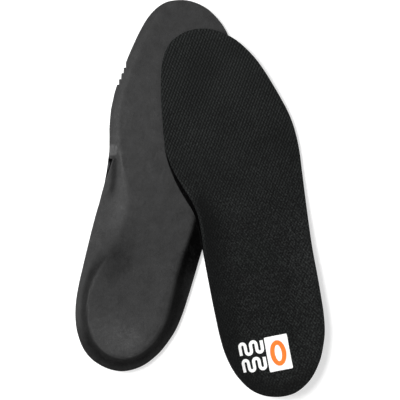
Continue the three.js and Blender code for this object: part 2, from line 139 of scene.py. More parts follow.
def nearest(u, v):
    """Distance to the edge and the nearest point on it."""
    p = np.stack([np.ravel(u), np.ravel(v)], 1)
    a, b = EDGE, np.roll(EDGE, -1, 0)
    seg = b - a
    ll = (seg ** 2).sum(1)
    d = np.empty(len(p))
    q = np.empty((len(p), 2))
    for k in range(0, len(p), 1500):
        x = p[k:k + 1500]
        i = ((x[:, None, :] - a[None]) ** 2).sum(2).argmin(1)
        best = np.full(len(x), np.inf)
        hit = np.zeros((len(x), 2))
        for j in (i, (i - 1) % len(a)):
            t = np.clip(((x - a[j]) * seg[j]).sum(1) / ll[j], 0, 1)
            y = a[j] + seg[j] * t[:, None]
            r = np.linalg.norm(x - y, axis=1)
            m = r < best
            best[m], hit[m] = r[m], y[m]
        d[k:k + 1500], q[k:k + 1500] = best, hit
    return d.reshape(np.shape(u)), q[:, 0].reshape(np.shape(u)), q[:, 1].reshape(np.shape(u))


def side_of(u, v):
    return smooth(u, spineU(v) - 6, spineU(v) + 6)


def waves(u, v, seed, size):
    """A low, soft unevenness of unit height: a few crossing waves of about that size in mm."""
    out = 0
    for k in range(5):
        a = seed * 1.7 + k * 2.399
        f = 2 * math.pi / (size * (0.75 + 0.19 * k))
        out = out + np.sin((u * math.cos(a) + v * math.sin(a)) * f + seed * 3.1 + k * 1.3)
    return out / 3.2


def fields(u, v):
    """Heights of every layer at points of the insole's own plan."""
    d, eu, ev = nearest(u, v)
    rim = lerp(innerRim(ev), outerRim(ev), side_of(eu, ev))
    w = side_of(u, v)
    cup = lerp(cupIn(v), cupOut(v), w)
    wall = lerp(wallIn(v), wallOut(v), w)
    bed = lerp(floorT(v), rim, (1 - np.clip(d / cup, 0, 1)) ** 1.9)
    inner = lerp(FOAM_T_HEEL, FOAM_T_TOE, smooth(v, 110, 190))
    foam = lerp(FOAM_T_RIM, inner, np.clip(d / 14, 0, 1))
    calm = smooth(d, 0, 9)
    bed = bed + 0.07 * waves(u, v, 1.0, 31) * calm
    # The wall stands up steeply from the plateau and flares to the edge; beside the arch it rises softly instead.
    x = 1 - np.clip(d / wall, 0, 1)
    arch = (1 - w) * smooth(v, 60, 84) * (1 - smooth(v, 150, 165))
    xs = (np.sqrt(x * x + 0.08 ** 2) - 0.08) / (math.sqrt(1 + 0.08 ** 2) - 0.08)      # small radius at the plateau's edge
    xa = (np.sqrt(x * x + 0.12 ** 2) - 0.12) / (math.sqrt(1 + 0.12 ** 2) - 0.12)
    foot = np.maximum(rim - np.minimum(RIM_T, rim), 0) * lerp(1 - (1 - xs) ** 1.7, xa ** 1.5, arch)
    return dict(d=d, rim=rim, w=w, cup=cup, wall=wall, top=bed, foam=foam, foot=foot, x=x, arch=arch)


def bell(x):
    return np.exp(-x * x)


def pad_shape(u, v):
    """1 on the small raised pad in front of the flange notch, 0 round it."""
    a = math.radians(15)
    x = (u + 35.6) * math.cos(a) + (v - 151.7) * math.sin(a)
    y = -(u + 35.6) * math.sin(a) + (v - 151.7) * math.cos(a)
    return (1 - smooth(np.abs(x), 2.4, 3.2)) * (1 - smooth(np.abs(y), 3.0, 4.0)), x, y


def fold_line(u, v):
    """Signed distance from the soft fold that runs back from the notch, and how strong it is there."""
    line = np.interp(v, [112, 124.7, 131.9, 138.8, 146.9, 152], [-26.4, -27.7, -28.4, -29.9, -32.5, -34.5])
    return u - line, smooth(v, 112, 130) * (1 - smooth(v, 145, 149.5))


def relief(u, v, f):
    """How far the moulded underside stands out from its plain surface (mm, outwards)."""
    q = f["d"] - f["wall"]
    heel = 1 - smooth(v, 78, 104)
    o = (0.06 + 0.18 * f["w"]) * bell((q - 5.0) / 4.6) * heel                                     # soft lip round the heel plateau
    o = o - 0.36 * bell((u - 4) / 18) * bell((v - 50) / 26) * smooth(q, 0, 9)   # shallow dish under the heel
    o = o - 0.35 * bell((u + 14) / 10) * bell((v - 84) / 15)
    o = o + 0.07 * waves(u, v, 2.3, 34) * smooth(f["d"], 1, 10)
    s, k = fold_line(u, v)
    o = o - 0.95 * bell(s / 2.1) * k + 0.45 * bell((s - 4.2) / 2.2) * smooth(v, 104, 124) * (1 - smooth(v, 150, 156))
    o = o + 0.35 * bell((u + 22) / 4.2) * bell((v - 108) / 20)                   # ridge that carries on behind it
    o = o + 0.55 * pad_shape(u, v)[0]
    o = o - 0.45 * bell(np.hypot(u - 18, v - 6.7) / 0.75)                        # ejector pit
    return np.where(f["d"] < 0.4, 0, o)


def tone(u, v, f):
    """Colour of the moulded foam, 0.5 where it is plain: lighter over the heel plateau, the forefoot and the small pad;
    painted shade in the hollow before the arch, in the soft fold and on the side walls; a painted highlight on the
    ridge behind the arch; lighter on the rise beside the fold.
    """
    t = 0.5 + 0.24 * bell((u - 5) / 20) * bell((v - 23) / 15)
    # painted shade in the hollow between the heel plateau and the arch
    t = t - 0.20 * bell((u + 13) / 14) * bell((v - 80) / 20)
    # painted highlight on the ridge behind the arch
    t = t + 0.10 * bell((u + 22) / 4.5) * bell((v - 110) / 20)
    t = t + 0.07 * bell((v - 185) / 45)
    s, k = fold_line(u, v)
    # painted shade in the soft fold, lighter on the rise beside it
    t = t - 0.30 * bell(s / 2.3) * k + 0.12 * bell((s - 4.4) / 2.2) * smooth(v, 118, 134) * (1 - smooth(v, 150, 156))
    pad, x, y = pad_shape(u, v)
    t = t + 0.46 * pad * (1 - 0.55 * bell((x - 1.5) / 0.35) * smooth(y, -0.5, 0.8))
    # painted shade on the moulded side walls, deepest in the fold beside the plateau and lifting towards the rim; the
    # same value makes them matt
    x = f["x"]
    fold = smooth(x, 0.0, 0.20) * (1 - 0.40 * smooth(x, 0.40, 0.92) * (1 - smooth(v, 70, 100)))
    thin = smooth(x, 0.0, 0.16) * (1 - 1.05 * smooth(x, 0.34, 0.80))
    tall = smooth(f["rim"], lerp(6.5, 5.4, f["w"]), lerp(13, 9.8, f["w"]))
    rear = 1 - smooth(v, 10, 36)
    dark = lerp((0.33 - 0.02 * smooth(v, 30, 60)) * thin, (0.385 + 0.085 * rear + 0.13 * f["w"] * smooth(v, 68, 100)) * fold, np.maximum(f["w"], rear))
    t = t - dark * tall * (1 - f["arch"])
    return np.clip(t, 0, 1)


def cover_tone_and_painted_light(u, v, f):
    """Painted shade on the knit up the heel cup, deepest on its medial and rear walls and up the arch flange; a painted
    highlight along its turned edge beside the arch; a little darker over the ball and towards the toe.
    """
    c = np.clip(1 - f["d"] / f["cup"], 0, 1) * smooth(f["rim"], 6.5, 15)
    rear = 1 - smooth(v, 4, 40)
    # painted shade up the cup walls and the arch flange
    t = 0.49 - 0.22 * smooth(c, 0.0, 0.9) * np.maximum(1 - f["w"], rear) - 0.05 * smooth(c, 0.3, 1.0)
    q = f["d"] - set_back(v)
    t = t + 0.85 * bell((q - 1.3) / 0.95) * bell((v - 130) / 22) * (1 - f["w"])      # painted highlight along the knit's turned edge
    # painted shade on the flange just inside the arch edge
    t = t - 0.11 * bell((q - 8) / 8) * bell((v - 136) / 22) * (1 - f["w"])
    return t - 0.10 * bell((v - 178) / 34) - 0.03 * smooth(v, 190, 230)


def set_back(v):
    """How far the knit stops short of the trimmed foam beside the arch of the upper insole (mm)."""
    return 3.0 * bell((v - 151) / 24)


# ---------------------------------------------------------------- placing
def basis(p, flipped):
    n = np.array([-p["su"], -p["sv"], 1.0])
    n /= np.linalg.norm(n)
    y = np.array([0, 1.0, p["sv"]])
    y /= np.linalg.norm(y)
    x = np.cross(y, n)
    a = math.radians(p["yaw"])
    rz = np.array([[math.cos(a), -math.sin(a), 0], [math.sin(a), math.cos(a), 0], [0, 0, 1]])
    m = rz @ np.stack([x, y, n], 1)
    if flipped:
        m = m @ np.diag([1.0, 1.0, -1.0])
    return m, np.array(p["at"]) + SHIFT


PLACES = {"right": basis(RIGHT, False), "left": basis(LEFT, True)}


def to_row(p, side):
    m, at = PLACES[side]
    return (np.asarray(p, float) @ m.T + at) * 0.001


# ---------------------------------------------------------------- stations round the edge
def stations():
    """Edge points with the same v on both sides, so that the rings meet in clean quads on the middle line."""
    half = int(np.argmax(EDGE[:, 1]))
    start = int(np.argmin(EDGE[:, 1]))
    loop = np.roll(EDGE, -start, 0)
    top = (half - start) % len(EDGE)
    inner, outer = loop[:top + 1], loop[top:][::-1]
    vs = [40.0]
    while vs[-1] < 230 - 1e-6:
        v = vs[-1]
        step = 0.42 if 195.5 < v < 216.5 else (0.7 if 142 < v < 152 else 1.9)
        vs.append(min(230.0, v + step))
    vs = np.array(sorted(set(np.round(vs, 4)) | {146.1, 146.3}))
    iu = np.interp(vs, inner[:, 1], inner[:, 0])
    ou = np.interp(vs, outer[:, 1], outer[:, 0])

    def cap(points, count):
        s = np.concatenate([[0], np.cumsum(np.linalg.norm(np.diff(points, axis=0), axis=1))])
        t = np.linspace(0, s[-1], count)[1:-1]
        return np.stack([np.interp(t, s, points[:, 0]), np.interp(t, s, points[:, 1])], 1)
    toe = np.concatenate([[[iu[-1], 230.0]], inner[inner[:, 1] > 230], outer[outer[:, 1] > 230][::-1], [[ou[-1], 230.0]]])
    heel = np.concatenate([[[ou[0], 40.0]], outer[outer[:, 1] < 40][::-1], inner[inner[:, 1] < 40], [[iu[0], 40.0]]])
    pts = np.concatenate([np.stack([iu, vs], 1), cap(toe, 74), np.stack([ou, vs], 1)[::-1], cap(heel, 84)])
    return pts, len(vs)


STATIONS, SIDE_N = stations()
_t = np.roll(STATIONS, -1, 0) - np.roll(STATIONS, 1, 0)
_t /= np.linalg.norm(_t, axis=1)[:, None]
INWARD = np.stack([_t[:, 1], -_t[:, 0]], 1)      # the edge runs clockwise seen from above
SPINE_AT = np.clip(STATIONS[:, 1], *SPINE_V)
SPINE_PT = np.stack([spineU(SPINE_AT), SPINE_AT], 1)


def outline(marked=False, trimmed=False):
    p = STATIONS.copy()
    inner = np.zeros(len(p), bool)
    inner[:SIDE_N] = True
    if marked:
        for c in MARKS["v"]:
            lo, hi = c - MARKS["pitch"] * 0.40, c + MARKS["pitch"] * 0.42
            m = inner & (p[:, 1] >= lo) & (p[:, 1] <= hi)
            s = (p[m, 1] - lo) / (hi - lo)
            p[m, 0] += lerp(MARKS["depth"], MARKS["depth"] * 0.1, s)
    if trimmed:
        trim = curve(FLANGE_TRIM)
        m = inner & (p[:, 1] > 124) & (p[:, 1] < 146.2)
        p[m, 0] = np.maximum(p[m, 0], trim(p[m, 1]))
    return p


RINGS_FINE = (np.arange(0, 31) / 30) ** 1.45
RINGS_HIDDEN = np.array([0, 0.02, 0.06, 0.12, 0.2, 0.3, 0.42, 0.56, 0.72, 0.86, 1.0])


def bands(edge, rings):
    return [lerp(edge, SPINE_PT, f) for f in rings]


def skin(name, loops, side, tones=None):
    """Closed mesh through loops of own-frame points; the first and last loops close on the middle line."""
    n, k = len(loops[0]), len(loops)
    own = np.concatenate(loops)
    me = bpy.data.meshes.new(name)
    bm = bmesh.new()
    lay = bm.verts.layers.float_vector.new("own_place")
    tl = bm.verts.layers.float.new("own_tone_and_painted_light")
    row = to_row(own, side)
    tt = np.full(len(own), 0.5) if tones is None else np.concatenate(tones)
    vs = []
    for p, q, t in zip(row, own, tt):
        x = bm.verts.new(p)
        x[lay] = q
        x[tl] = t
        vs.append(x)
    for r in range(k - 1):
        for i in range(n):
            j = (i + 1) % n
            bm.faces.new((vs[r * n + i], vs[r * n + j], vs[(r + 1) * n + j], vs[(r + 1) * n + i]))
    for r in (0, k - 1):
        bmesh.ops.remove_doubles(bm, verts=vs[r * n:(r + 1) * n], dist=2e-6)
    bmesh.ops.dissolve_degenerate(bm, edges=bm.edges[:], dist=1e-8)
    bmesh.ops.recalc_face_normals(bm, faces=bm.faces[:])
    bm.to_mesh(me)
    bm.free()
    me.polygons.foreach_set("use_smooth", np.ones(len(me.polygons), bool))
    me.set_sharp_from_angle(angle=math.radians(48))
    ob = bpy.data.objects.new(name, me)
    bpy.context.scene.collection.objects.link(ob)
    return ob


def pad_top():
    a = np.linspace(0, 2 * math.pi, 25)[:-1]
    u = np.append(PAD["u"] + PAD["ru"] * np.cos(a), PAD["u"])
    v = np.append(PAD["v"] + PAD["rv"] * np.sin(a), PAD["v"])
    f = fields(u, v)
    return float((f["top"] - COVER_T - GAP - f["foam"] - GAP).min()) - 0.15


PAD_TOP = pad_top()


def loops_of(edge, rings, height):
    """Loops from the edge inwards with their heights and tones."""
    out = []
    for p in bands(edge, rings):
        f = fields(p[:, 0], p[:, 1])
        z, t = height(p[:, 0], p[:, 1], f)
        out.append((np.column_stack([p, z]), t))
    return out


def rim(edge, zs, insets, t=None):
    """Loops down the trimmed edge: each is set in from the outline by its inset."""
    return [(np.column_stack([edge + INWARD * i, z]), np.full(len(edge), 0.5) if t is None else t) for z, i in zip(zs, insets)]


def make(name, side, upper, edge_loops, lower):
    loops = upper[::-1] + edge_loops + lower
    return skin(name, [p for p, _ in loops], side, [t for _, t in loops])


def insole(side):
    marked = side == "left"
    edge = outline(marked)
    half = np.full(len(edge), 0.5)
    fe = fields(edge[:, 0], edge[:, 1])
    # The cover: a knit of even thickness whose cut edge turns over softly.
    top = fe["top"]
    inset = 0.34

    def cover_top(u, v, f):
        return f["top"], cover_tone_and_painted_light(u, v, f)

    def cover_low(u, v, f):
        return f["top"] - COVER_T, half
    fine = RINGS_FINE[1:]
    inner = (np.arange(len(edge)) < SIDE_N)[:, None]
    back = np.where(inner, set_back(edge[:, 1])[:, None] * smooth(edge[:, 1], 100, 118)[:, None] * (1 - smooth(edge[:, 1], 182, 196))[:, None], 0.0)
    cedge = edge + INWARD * back
    fc = fields(cedge[:, 0], cedge[:, 1])
    ctop, ct = fc["top"], cover_tone_and_painted_light(cedge[:, 0], cedge[:, 1], fc)
    cover = make(f"knit_cover_{side}", side,
                 loops_of(cedge + INWARD * inset, np.concatenate([[0], fine]), cover_top),
                 rim(cedge, [ctop - 0.10, ctop - 0.30, ctop - 0.62], [0.12, 0.02, 0.05], ct),
                 loops_of(cedge + INWARD * 0.12, RINGS_HIDDEN, cover_low))

    # The comfort foam: slightly set back, its open-cell side bulges between the two glued faces.
    # bare is 0.5, lower along the arch edge of the upper insole: it presses that foam edge down, and as colour it is
    # painted shade on the bare foam and the base's rim there
    bare = 0.5 - 0.5 * smooth(edge[:, 1], 84, 108) * (1 - smooth(edge[:, 1], 184, 196)) * (inner[:, 0] if side == "right" else 0)

    def foam_top(u, v, f):
        # Where the knit is set back, the bare foam is pressed down towards the trimmed edge, and its colour there is
        # painted shade.
        return f["top"] - COVER_T - 0.02 - (0.6 * bell(f["d"] / 1.6) * (0.5 - bare) * 2), bare

    def foam_low(u, v, f):
        # On the upper insole, painted shade on the underside towards the edge. On the lower one, seen beside the
        # trimmed base: a painted shadow under the step, then a lighter patch, a thin darker line across, and painted
        # shade along the trim line.
        if side == "right":
            return f["top"] - COVER_T - 0.32 - f["foam"], 0.5 - 0.3 * bell(f["d"] / 4)
        t = 0.5 - 0.5 * bell((v - 145.0) / 1.5) + 0.38 * bell((v - 141) / 2.0) * bell((u + 35.2) / 1.6) - 0.3 * bell((v - 137.6) / 0.5)
        return f["top"] - COVER_T - 0.32 - f["foam"], np.clip(t - 0.5 * bell((u + 33.0) / 0.7), 0, 1)
    zt, zl = top - COVER_T - 0.02, top - COVER_T - 0.32 - fe["foam"]
    uneven = 0.06 * waves(edge[:, 0], edge[:, 1], 4.1, 9)
    foam = make(f"comfort_foam_pad_{side}", side,
                loops_of(edge + INWARD * 0.30, RINGS_HIDDEN, foam_top),
                rim(edge, [lerp(zt, zl, 0.2) - (0.5 - bare) * 1.0, lerp(zt, zl, 0.55) - (0.5 - bare) * 0.6, lerp(zt, zl, 0.8)], [(0.16 + uneven)[:, None], (0.10 + uneven)[:, None], (0.16 + uneven)[:, None]], bare),
                loops_of(edge + INWARD * 0.30, RINGS_FINE if marked else RINGS_HIDDEN, foam_low))

    # The moulded base: pocket for the heel pad above, plateaus, lip and relief below.
    bedge = outline(marked, True)
    fb = fields(bedge[:, 0], bedge[:, 1])

    def base_high(u, v, f):
        z = f["top"] - COVER_T - 0.34 - f["foam"]
        r = np.hypot((u - PAD["u"]) / (PAD["ru"] + 1.2), (v - PAD["v"]) / (PAD["rv"] + 1.2))
        return np.where(r < 1, np.minimum(z, PAD_TOP - PAD["t"] - 0.3), z), half

    def base_low(u, v, f):
        high = f["top"] - COVER_T - 0.34 - f["foam"]
        z = np.minimum(f["foot"], high - 0.9)
        return np.minimum(z - relief(u, v, f), high - 0.7), tone(u, v, f)
    hi, _ = base_high(bedge[:, 0], bedge[:, 1], fb)
    lo, _ = base_low(bedge[:, 0], bedge[:, 1], fb)
    hi = np.maximum(hi, lo + 0.7)
    # the base's rim takes bare as its colour: painted shade along the upper insole's arch edge
    base = make(f"moulded_base_{side}", side,
                loops_of(bedge + INWARD * 0.22, RINGS_FINE, base_high),
                rim(bedge, [hi - 0.12, lerp(hi, lo, 0.45), lo + 0.34, lo + 0.10], [0.06, 0.0, 0.02, 0.14], bare),
                loops_of(bedge + INWARD * 0.36, RINGS_FINE, base_low))
    return cover, foam, base


# ---------------------------------------------------------------- heel pad and prints
def pad_piece(side):
    """Gel heel pad: a thin rounded ellipse let into the base's pocket."""
    n = 72
    a = np.linspace(0, 2 * math.pi, n + 1)[:-1]
    loops = []
    prof = [(0.0, 0.0), (0.3, 0.0), (0.6, 0.0), (0.85, 0.0), (0.955, 0.02), (0.985, 0.22), (1.0, 0.5), (0.985, 0.78), (0.955, 0.98), (0.85, 1.0), (0.6, 1.0), (0.3, 1.0), (0.0, 1.0)]
    for s, h in prof:
        z = PAD_TOP - PAD["t"] * h
        ru, rv = (PAD["ru"] - 0.9) * s, (PAD["rv"] - 0.9) * s
        loops.append(np.column_stack([PAD["u"] + ru * np.cos(a), PAD["v"] + rv * np.sin(a), np.full(n, z)]))
    return skin(f"gel_heel_pad_{side}", loops, side)


FILM_LOW, FILM_HIGH = 0.03, 0.15


def film_piece(name, side, columns, closed):
    """Film of even thickness over the cover: columns is (rows, cross, 2) plan points."""
    rows, cross = columns.shape[:2]
    f = fields(columns[..., 0], columns[..., 1])
    top = f["top"] + FILM_HIGH
    low = f["top"] + FILM_LOW
    own = np.concatenate([np.dstack([columns, top]).reshape(-1, 3), np.dstack([columns, low]).reshape(-1, 3)])
    row = to_row(own, side)
    off = rows * cross
    faces = []
    last = rows if closed else rows - 1
    for r in range(last):
        s = (r + 1) % rows
        for c in range(cross - 1):
            q = (r * cross + c, r * cross + c + 1, s * cross + c + 1, s * cross + c)
            faces.append(q)
            faces.append(tuple(off + i for i in q[::-1]))
        for c in (0, cross - 1):
            faces.append((r * cross + c, s * cross + c, off + s * cross + c, off + r * cross + c))
    if not closed:
        for r in (0, rows - 1):
            for c in range(cross - 1):
                faces.append((r * cross + c, r * cross + c + 1, off + r * cross + c + 1, off + r * cross + c))
    me = bpy.data.meshes.new(name)
    me.from_pydata([tuple(p) for p in row], [], faces)
    at = me.attributes.new("own_place", "FLOAT_VECTOR", "POINT")
    at.data.foreach_set("vector", own.astype(np.float32).ravel())
    bm = bmesh.new()
    bm.from_mesh(me)
    bmesh.ops.remove_doubles(bm, verts=bm.verts[:], dist=1e-7)
    bmesh.ops.dissolve_degenerate(bm, edges=bm.edges[:], dist=1e-8)
    bmesh.ops.recalc_face_normals(bm, faces=bm.faces[:])
    bm.to_mesh(me)
    bm.free()
    me.polygons.foreach_set("use_smooth", np.ones(len(me.polygons), bool))
    me.set_sharp_from_angle(angle=math.radians(40))
    ob = bpy.data.objects.new(name, me)
    bpy.context.scene.collection.objects.link(ob)
    return ob


def rounded_rect(p, n):
    """n points round the panel, spaced evenly along its outline; the caller pairs them with the ring by angle from the
    ring's centre.
    """
    r, pts = p["r"], []
    for cu, cv, a0 in ((p["u1"] - r, p["v1"] - r, 0), (p["u0"] + r, p["v1"] - r, 1), (p["u0"] + r, p["v0"] + r, 2), (p["u1"] - r, p["v0"] + r, 3)):
        for i in range(7):
            a = (a0 + i / 6) * math.pi / 2
            pts.append((cu + r * math.cos(a), cv + r * math.sin(a)))
    pts = np.array(pts + pts[:1])
    s = np.concatenate([[0], np.cumsum(np.linalg.norm(np.diff(pts, axis=0), axis=1))])
    t = np.linspace(0, s[-1], n + 1)[:-1]
    out = np.stack([np.interp(t, s, pts[:, 0]), np.interp(t, s, pts[:, 1])], 1)
    return out


def ellipse(u, v, ru, rv, angles):
    return np.stack([u + ru * np.cos(angles), v + rv * np.sin(angles)], 1)


def wave_columns(vc):
    w = WAVE
    r = w["pitch"] / 2
    straight = w["height"] / 2 - r - w["width"] / 2
    line = []
    for k in range(w["strokes"]):
        u, up = w["u0"] + k * w["pitch"], 1 if k % 2 == 0 else -1
        if k == 0:
            line += [(u, vc - up * (straight + r) * s) for s in (1.0, 0.6, 0.2)]
        if k == w["strokes"] - 1:
            line += [(u, vc + up * (straight + r) * s) for s in (0.2, 0.6, 1.0)]
            continue
        for i in range(13):
            a = math.pi * (1 - i / 12)
            line.append((u + r + r * math.cos(a), vc + up * (straight + r * math.sin(a))))
    line = np.array(line)
    s = np.concatenate([[0], np.cumsum(np.linalg.norm(np.diff(line, axis=0), axis=1))])
    t = np.linspace(0, s[-1], 150)
    line = np.stack([np.interp(t, s, line[:, 0]), np.interp(t, s, line[:, 1])], 1)
    d = np.gradient(line, axis=0)
    d /= np.linalg.norm(d, axis=1)[:, None]
    nrm = np.stack([-d[:, 1], d[:, 0]], 1)
    return line[:, None, :] + nrm[:, None, :] * np.linspace(-w["width"] / 2, w["width"] / 2, 7)[None, :, None]


def prints(side):
    n = 128
    rect = rounded_rect(PANEL, n)
    ang = np.arctan2((rect[:, 1] - RING["v"]) / RING["rv"], (rect[:, 0] - RING["u"]) / RING["ru"])
    hole = ellipse(RING["u"], RING["v"], RING["ru"] + 0.02, RING["rv"] + 0.02, ang)
    t = np.linspace(0, 1, 9)[None, :, None]
    out = {"panel": film_piece(f"print_panel_film_{side}", side, lerp(rect[:, None], hole[:, None], t), True)}
    a = np.linspace(0, 2 * math.pi, n + 1)[:-1]
    t5 = np.linspace(0, 1, 5)[None, :, None]
    out["ring"] = film_piece(f"print_ring_film_{side}", side, lerp(
        ellipse(RING["u"], RING["v"], RING["ru"], RING["rv"], a)[:, None],
        ellipse(RING["u"], RING["v"], RING["ru"] - RING["width"], RING["rv"] - RING["width"], a)[:, None], t5), True)
    out["dot"] = film_piece(f"print_dot_film_{side}", side, lerp(
        ellipse(RING["u"], RING["v"], DOT["ru"], DOT["rv"], a)[:, None],
        ellipse(RING["u"], RING["v"], 0.0, 0.0, a)[:, None], t5), True)
    out["wave_front"] = film_piece(f"print_wave_front_film_{side}", side, wave_columns(WAVE["high"]), False)
    out["wave_back"] = film_piece(f"print_wave_back_film_{side}", side, wave_columns(WAVE["low"]), False)
    return out


# ---------------------------------------------------------------- materials
class Tree:
    """Short way to write a node tree."""

    def __init__(self, name):
        self.m = bpy.data.materials.new(name)
        self.m.use_nodes = True
        self.t = self.m.node_tree
        self.t.nodes.clear()
        self.out = self.t.nodes.new("ShaderNodeOutputMaterial")
        self.bsdf = self.t.nodes.new("ShaderNodeBsdfPrincipled")
        self.t.links.new(self.bsdf.outputs[0], self.out.inputs[0])

    def put(self, socket, value):
        if isinstance(value, bpy.types.NodeSocket):
            self.t.links.new(value, socket)
        else:
            socket.default_value = value

    def math(self, op, a, b=0.0, c=0.0, clamp=False):
        n = self.t.nodes.new("ShaderNodeMath")
        n.operation = op
        n.use_clamp = clamp
        for s, x in zip(n.inputs, (a, b, c)):
            self.put(s, x)
        return n.outputs[0]

    def attribute(self, name, out="Vector"):
        n = self.t.nodes.new("ShaderNodeAttribute")
        n.attribute_name = name
        return n.outputs[out]

    def split(self, vector):
        n = self.t.nodes.new("ShaderNodeSeparateXYZ")
        self.put(n.inputs[0], vector)
        return n.outputs

    def vector(self, x, y, z=0.0):
        n = self.t.nodes.new("ShaderNodeCombineXYZ")
        for s, v in zip(n.inputs, (x, y, z)):
            self.put(s, v)
        return n.outputs[0]

    def noise(self, vector, scale, detail=2.0, rough=0.5, distortion=0.0):
        n = self.t.nodes.new("ShaderNodeTexNoise")
        self.put(n.inputs["Vector"], vector)
        n.inputs["Scale"].default_value = scale
        n.inputs["Detail"].default_value = detail
        n.inputs["Roughness"].default_value = rough
        n.inputs["Distortion"].default_value = distortion
        return n.outputs[0]

    def cells(self, vector, scale, feature="F1", randomness=1.0):
        n = self.t.nodes.new("ShaderNodeTexVoronoi")
        n.feature = feature
        self.put(n.inputs["Vector"], vector)
        n.inputs["Scale"].default_value = scale
        n.inputs["Randomness"].default_value = randomness
        return n.outputs[0]

    def span(self, x, a, b, c, d):
        n = self.t.nodes.new("ShaderNodeMapRange")
        n.clamp = True
        for s, v in zip(n.inputs, (x, a, b, c, d)):
            self.put(s, v)
        return n.outputs[0]

    def ramp(self, x, stops):
        n = self.t.nodes.new("ShaderNodeValToRGB")
        e = n.color_ramp.elements
        e[0].position, e[0].color = stops[0][0], (*stops[0][1], 1)
        e[1].position, e[1].color = stops[-1][0], (*stops[-1][1], 1)
        for p, c in stops[1:-1]:
            k = e.new(p)
            k.color = (*c, 1)
        self.put(n.inputs[0], x)
        return n.outputs[0]

    def bump(self, height, distance, strength=1.0, normal=None):
        n = self.t.nodes.new("ShaderNodeBump")
        n.inputs["Strength"].default_value = strength
        n.inputs["Distance"].default_value = distance
        self.put(n.inputs["Height"], height)
        if normal is not None:
            self.put(n.inputs["Normal"], normal)
        return n.outputs[0]

    def finish(self, colour, rough, normal, specular=0.3, sheen=0.0, sheen_rough=0.5, sheen_tint=(1, 1, 1, 1), ior=1.5):
        b = self.bsdf.inputs
        self.put(b["Base Color"], colour)
        self.put(b["Roughness"], rough)
        self.put(b["Normal"], normal)
        self.put(b["Specular IOR Level"], specular)
        b["IOR"].default_value = ior
        b["Sheen Weight"].default_value = sheen
        b["Sheen Roughness"].default_value = sheen_rough
        b["Sheen Tint"].default_value = sheen_tint
        return self.m


def knit_height(t, place):
    """Height 0..1 of a knit with diagonal ribs of short staggered stitches; place is in mm."""
    u, v, z = t.split(place)
    wob = t.math("MULTIPLY", t.math("SUBTRACT", t.noise(place, 0.16, 2.0), 0.5), 0.9)
    s = t.math("ADD", t.math("SUBTRACT", t.math("MULTIPLY", u, 0.848 / RIB), t.math("MULTIPLY", v, 0.530 / RIB)), t.math("MULTIPLY", wob, 0.35))
    along = t.math("ADD", t.math("MULTIPLY", u, 0.530 / STITCH), t.math("MULTIPLY", v, 0.848 / STITCH))
    row = t.math("FLOOR", s)
    fs = t.math("FRACT", s)
    rib = t.math("POWER", t.math("SINE", t.math("MULTIPLY", fs, math.pi)), 0.7)
    hop = t.math("MULTIPLY", row, 0.382)
    a = t.math("FRACT", t.math("ADD", t.math("ADD", along, hop), wob))
    stitch = t.math("POWER", t.math("SINE", t.math("MULTIPLY", a, math.pi)), 0.55)
    return t.math("MULTIPLY", rib, t.math("ADD", t.math("MULTIPLY", stitch, 0.42), 0.58)), u, v


RIB, STITCH = 2.02, 2.7


def knit(name, dark, light, bump=0.00030):
    t = Tree(name)
    place = t.attribute("own_place")
    h, u, v = knit_height(t, place)
    tn = t.attribute("own_tone_and_painted_light", "Fac")
    # The ribs stand out at the toe and lie flatter under the arch and heel, where the cross courses show as much.
    clear = t.span(v, 120, 195, 0.42, 1.0)
    cross = t.math("SINE", t.math("MULTIPLY", t.math("ADD", t.math("MULTIPLY", u, 0.824), t.math("MULTIPLY", v, 0.566)), 2 * math.pi / 1.75))
    h = t.math("ADD", t.math("ADD", t.math("MULTIPLY", t.math("SUBTRACT", h, 0.5), clear), 0.5), t.math("MULTIPLY", cross, 0.13))
    fuzz = t.noise(place, 1.9, 3.0, 0.65)
    speck = t.cells(place, 1.5)
    nap = t.noise(place, 0.66, 2.0, 0.6)
    patch = t.noise(place, 0.035, 2.0, 0.5)
    k = t.math("ADD", t.math("MULTIPLY", h, 0.66), t.math("MULTIPLY", t.math("SUBTRACT", fuzz, 0.5), 1.55))
    k = t.math("ADD", k, t.math("MULTIPLY", t.math("SUBTRACT", speck, 0.4), 0.14))
    k = t.math("ADD", k, t.math("MULTIPLY", t.math("SUBTRACT", nap, 0.5), t.span(v, 120, 195, 1.25, 0.45)))
    k = t.math("ADD", k, t.math("MULTIPLY", t.math("SUBTRACT", patch, 0.5), 0.30), clamp=True)
    colour = t.ramp(k, [(0.0, [x * 0.45 for x in dark]), (0.35, dark), (0.8, light), (1.0, [x * 1.6 for x in light])])
    # the tone scales the knit's colour: painted shade up the heel cup and arch flange, painted highlight along the
    # turned edge
    scale = t.t.nodes.new("ShaderNodeVectorMath")
    scale.operation = "SCALE"
    t.put(scale.inputs[0], colour)
    t.put(scale.inputs["Scale"], t.span(tn, 0.0, 1.5, 0.10, 2.80))
    colour = scale.outputs[0]
    rough = t.span(fuzz, 0.3, 0.7, 0.98, 0.84)
    height = t.math("ADD", h, t.math("MULTIPLY", fuzz, 0.35))
    nrm = t.bump(height, bump, 0.9)
    return t.finish(colour, rough, nrm, specular=0.10, sheen=0.04, sheen_rough=0.45, sheen_tint=(0.85, 0.92, 0.95, 1))


